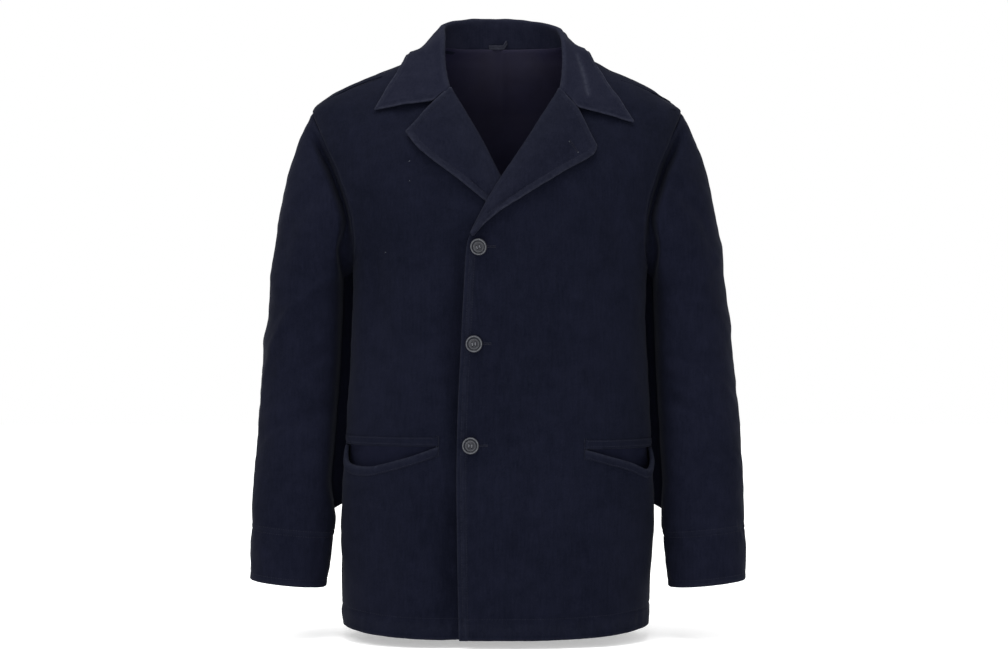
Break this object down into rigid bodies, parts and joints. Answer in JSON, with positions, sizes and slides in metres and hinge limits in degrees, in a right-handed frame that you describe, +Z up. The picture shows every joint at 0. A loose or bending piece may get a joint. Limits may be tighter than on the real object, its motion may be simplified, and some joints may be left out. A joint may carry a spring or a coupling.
{
  "type": "overcoat",
  "caption": "Short single-breasted overcoat with notched lapels, set-in sleeves and gaping hip pockets, fastened and filled out with no wearer.",
  "frame": {"origin": "middle of the neck at the height of the back neck seam, where the wearer's neck holds the coat up", "axes": "+Z up along the coat's height, which is its longest extent; -Y is the front; +X is the wearer's left; Y is its shortest extent"},
  "size_m": [0.6859, 0.2575, 0.857],
  "materials": {
    "outer_cloth": "matte brushed cotton, very dark navy",
    "collar_cloth": "matte brushed cotton, slightly worn",
    "pocket_cloth": "matte brushed cotton",
    "lining": "soft satin lining, dark navy with a purple cast",
    "loop_tape": "woven tape",
    "button": "satin, dark grey"
  },
  "bodies": {
    "root": {"front_left": "outer_cloth", "front_right": "outer_cloth", "back": "outer_cloth", "back_lining": "lining", "sleeve_left": "outer_cloth", "sleeve_right": "outer_cloth", "lapel_left": "collar_cloth", "lapel_right": "collar_cloth", "collar": "collar_cloth", "pocket_welt_left": "pocket_cloth", "pocket_welt_right": "pocket_cloth", "pocket_band_left": "pocket_cloth", "pocket_band_right": "pocket_cloth", "pocket_bag_left": "pocket_cloth", "pocket_bag_right": "pocket_cloth", "hanger_loop": "loop_tape", "button_1": "button", "button_2": "button", "button_3": "button"}
  },
  "joints": []
}
